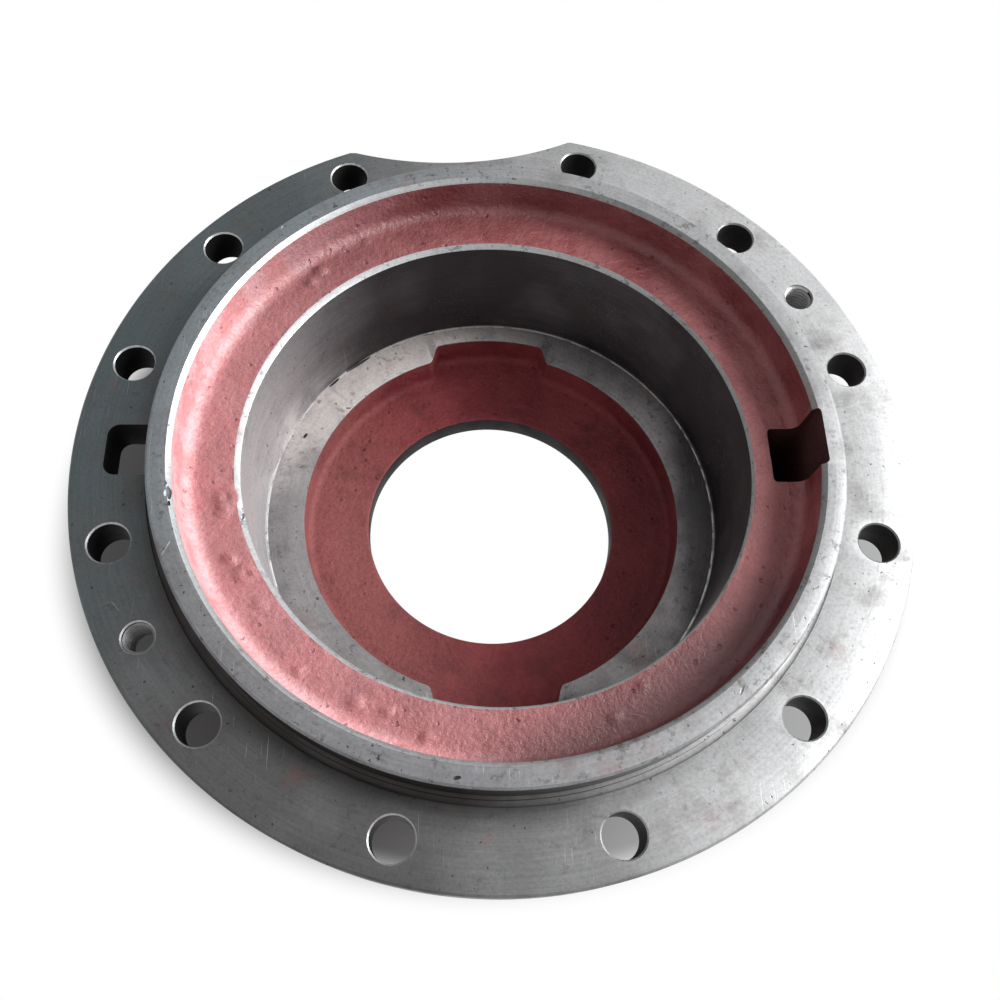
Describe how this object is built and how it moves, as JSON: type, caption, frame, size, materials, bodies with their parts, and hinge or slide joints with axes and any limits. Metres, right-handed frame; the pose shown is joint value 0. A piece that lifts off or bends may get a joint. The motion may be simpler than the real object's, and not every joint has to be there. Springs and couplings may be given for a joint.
{
  "type": "bearing seat",
  "caption": "Round cast-iron bearing seat: a bolting flange with a scalloped rim, a raised locating ring and a deep bore that ends in a shoulder and a pierced floor.",
  "frame": {"origin": "on the bearing axis, in the plane of the machined face of the flange, where the locating ring enters the mating housing", "axes": "+Z along the bearing axis, out of the mouth; +X through the oil window; +Y towards the scallop side"},
  "size_m": [0.284, 0.2804, 0.0855],
  "materials": {
    "cast_body": "machined grey iron on the flange, ring, bore and shoulder; dull red primer on the raw cast surfaces"
  },
  "bodies": {
    "root": {"bearing_seat": "cast_body"}
  },
  "joints": []
}
